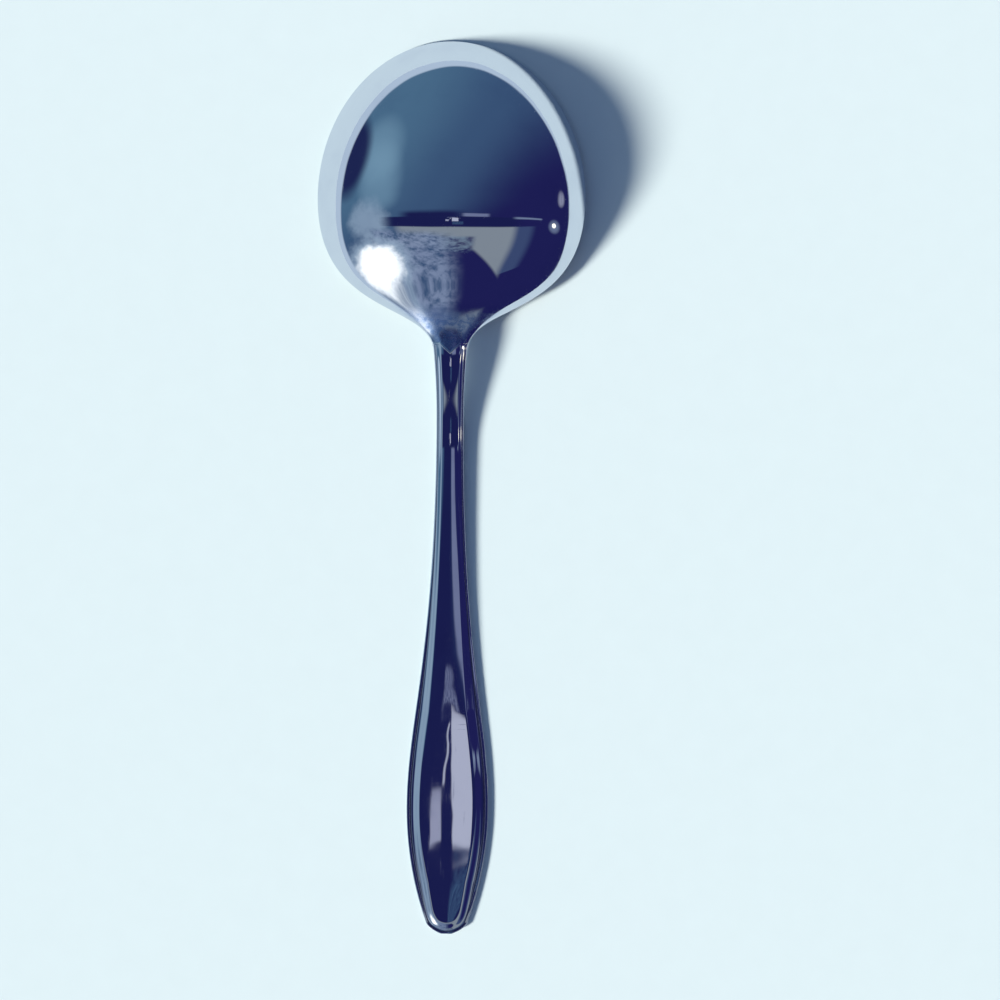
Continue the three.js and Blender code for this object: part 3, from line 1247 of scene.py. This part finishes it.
# The things in the room, each laid over the ones before it
ROOM = (
    Glow("upper haze", HAZE, (-0.71, 0.52, 0.47), 1, 19, strength=0.5),
    Glow("lower haze", HAZE, (-0.76, 0.32, 0.56), 1, 20, strength=0.55),
    Glow("dark side", RAIL_NAVY, (-0.90, 0.43, 0.10), 11, 19, strength=0.95),
    Glow("frost", FROST, (-0.87, -0.12, 0.47), 1, 20, strength=0.6, ragged=0.06),
    Patch("rail", RAIL_NAVY, Span(-1.1, 1.1, 0.25), Span(0.08, 0.31, 0.015)),
    Patch("rail end", RAIL_NAVY, Span(-0.70, 0.13, 0.15), Span(-0.02, 0.12, 0.05)),
    Patch("dusk", DUSK, Span(0.9, 1.7, 0.25), Span(0.305, 2.2, 0.02)),
    Patch("board", BOARD, Span(-0.85, 1.06, 0.14), Span(0.305, 2.6, 0.02)),
    Patch("dark slope", NAVY, Span(-2.5, -0.25, 0.05), Span(0.90, 9.0, 0.15), slant=0.588),
    Patch(
        "board rows", DULL_BOARD, Span(-0.36, 0.30, 0.06), Span(0.55, 1.05, 0.05),
        strength=0.85, texture=Texture.ROWS, second_tone=NAVY,
    ),
    Patch(
        "pale rows", LAVENDER, Span(-1.8, -0.15, 0.25), Span(0.45, 6.0, 0.12),
        strength=0.9, slant=0.10, texture=Texture.ROWS, second_tone=SLATE,
    ),
    Patch("right streak", LAVENDER, Span(1.0, 2.2, 0.1), Span(0.06, 0.10, 0.02), strength=0.8),
    Patch("veil", VEIL, Span(0.14, 0.48, 0.04), Span(0.015, 0.075, 0.01), strength=0.8),
    Patch(
        "speckled veil", VEIL, Span(-0.06, 0.04, 0.01), Span(0.094, 0.106, 0.003),
        strength=0.95, texture=Texture.SPECKS, second_tone=RAIL_NAVY,
    ),
    Patch("wide panel", PALE, Span(-0.004, 0.078, 0.003), Span(0.108, 0.178, 0.002)),
    Patch("small panel", MIST, Span(-0.080, -0.042, 0.003), Span(0.141, 0.175, 0.002)),
    Patch(
        "slanting strip", PALE, Span(0.078, 0.086, 0.002), Span(0.112, 0.138, 0.002),
        strength=0.9, slant=-0.85,
    ),
    Patch(
        "speckled slate", SLATE, Span(0.0, 0.14, 0.01), Span(0.182, 0.25, 0.01),
        texture=Texture.SPECKS, second_tone=RAIL_NAVY,
    ),
    Glow("window halo", FROST, (-0.69, -0.66, 0.30), 12, 27, strength=0.75, ragged=0.10),
    Glow("window", WHITE, (-0.675, -0.675, 0.29), 8, 18, ragged=0.05),
    Glow("bulb halo", LAVENDER, (0.97, -0.10, 0.23), 1.2, 6, strength=0.6),
    Glow("bulb", WARM_WHITE, (0.97, -0.085, 0.235), 0.6, 2.0),
    Glow("right spot", PALE, (0.975, 0.17, 0.14), 0.5, 3.5, strength=0.6),
)


@dataclass
class Studio:
    """A pale floor, one soft lamp low in the west and a dark room above."""

    floor_tone: Colour = colour(0.75, 0.86, 0.90)
    floor_radius: float = 8.0
    floor_sides: int = 96
    floor_cloud: Grain = Grain(160, 4)
    floor_shade: float = 0.97
    lamp_turn: float = 27.0
    lamp_lift: float = 23.0
    lamp_width: float = 9.0
    lamp_strength: float = 7.2
    lamp_tone: tuple[float, float, float] = (1.0, 0.98, 0.88)
    wall_lean: float = 0.707
    slate_wall: tuple[float, float] = (-0.45, 0.3)
    teal_wall: tuple[float, float] = (0.3, 0.95)
    horizon_tilt: float = 0.04
    horizon_edge: tuple[float, float] = (0.03, 0.06)
    camera_height: float = 0.52
    frame_width: float = 0.2424
    camera_across: float = 0.0122
    camera_along: float = -0.003
    camera_roll: float = 0.42
    sensor_width: float = 36.0

    def floor(self) -> None:
        """Lays the floor."""
        angles = np.linspace(0, 2 * math.pi, self.floor_sides, endpoint=False)
        rim = np.stack([np.cos(angles), np.sin(angles), np.zeros_like(angles)], axis=1) * self.floor_radius
        floor = make_object("floor", rim, [list(range(self.floor_sides))])
        floor.data.materials.append(self.floor_cover())

    def floor_cover(self) -> bpy.types.Material:
        """Makes the floor's plain pale cover.

        Returns:
            A matt material with faint clouds.
        """
        material = bpy.data.materials.new("pale_floor")
        material.use_nodes = True
        nodes = NodeBuilder(material.node_tree)
        shade = colour(*[self.floor_shade * part for part in self.floor_tone[:3]])
        tone = nodes.mix(self.floor_cloud.noise(nodes, nodes.place()), shade, self.floor_tone)
        cover = nodes.node("ShaderNodeBsdfDiffuse", {}, {"Color": tone})
        output = nodes.node("ShaderNodeOutputMaterial", {}, {})
        nodes.tree.links.new(cover.outputs["BSDF"], output.inputs["Surface"])
        return material

    def lamp(self) -> None:
        """Hangs the lamp."""
        turn, lift = math.radians(self.lamp_turn), math.radians(self.lamp_lift)
        level = math.cos(lift)
        towards = Vector((-level * math.cos(turn), -level * math.sin(turn), math.sin(lift)))
        light = bpy.data.lights.new("window_lamp", "SUN")
        light.energy = self.lamp_strength
        light.angle = math.radians(self.lamp_width)
        light.color = self.lamp_tone
        lamp = bpy.data.objects.new("window_lamp", light)
        lamp.rotation_mode = "QUATERNION"
        lamp.rotation_quaternion = (-towards).to_track_quat("-Z", "Y")
        lamp.location = towards
        lamp.visible_glossy = False
        bpy.context.scene.collection.objects.link(lamp)

    def room(self) -> None:
        """Paints the dark room with its window, its board and its pale horizon."""
        world = bpy.data.worlds.new("dark_room")
        world.use_nodes = True
        nodes = NodeBuilder(world.node_tree)
        view = RoomView(nodes, RoomGrain())
        lean = (view.north - view.east) * self.wall_lean
        tone = nodes.mix(lean.step(*self.slate_wall), NAVY, SLATE)
        tone = nodes.mix(lean.step(*self.teal_wall), tone, TEAL)
        for thing in ROOM:
            tone = thing.paint(nodes, view, tone)
        height = view.up + view.east * self.horizon_tilt - view.north * self.horizon_tilt
        tone = nodes.mix(1 - height.step(*self.horizon_edge), tone, HORIZON)
        background = nodes.node("ShaderNodeBackground", {}, {"Color": tone})
        output = nodes.node("ShaderNodeOutputWorld", {}, {})
        nodes.tree.links.new(background.outputs["Background"], output.inputs["Surface"])
        bpy.context.scene.world = world

    def camera(self) -> None:
        """Sets the camera straight above, with the tip of the bowl at the top of the picture."""
        data = bpy.data.cameras.new("camera")
        data.sensor_width = self.sensor_width
        data.lens = self.sensor_width * self.camera_height / self.frame_width
        camera = bpy.data.objects.new("camera", data)
        camera.location = (self.camera_across, self.camera_along, self.camera_height)
        camera.rotation_euler = (0, 0, math.radians(self.camera_roll))
        bpy.context.scene.collection.objects.link(camera)
        bpy.context.scene.camera = camera


def main() -> None:
    """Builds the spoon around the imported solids, then the studio."""
    logging.basicConfig(level=logging.INFO)
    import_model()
    form = SpoonForm()
    for maker in (BowlShell(form), HandleBlank(form), SolderSeam(form)):
        piece = maker.build()
        maker.dress(piece)
        log.info("%s: %d points", piece.name, len(piece.data.vertices))
    studio = Studio()
    studio.floor()
    studio.lamp()
    studio.room()
    studio.camera()
    bpy.context.scene.view_settings.view_transform = "Standard"


if __name__ == "__main__":
    main()
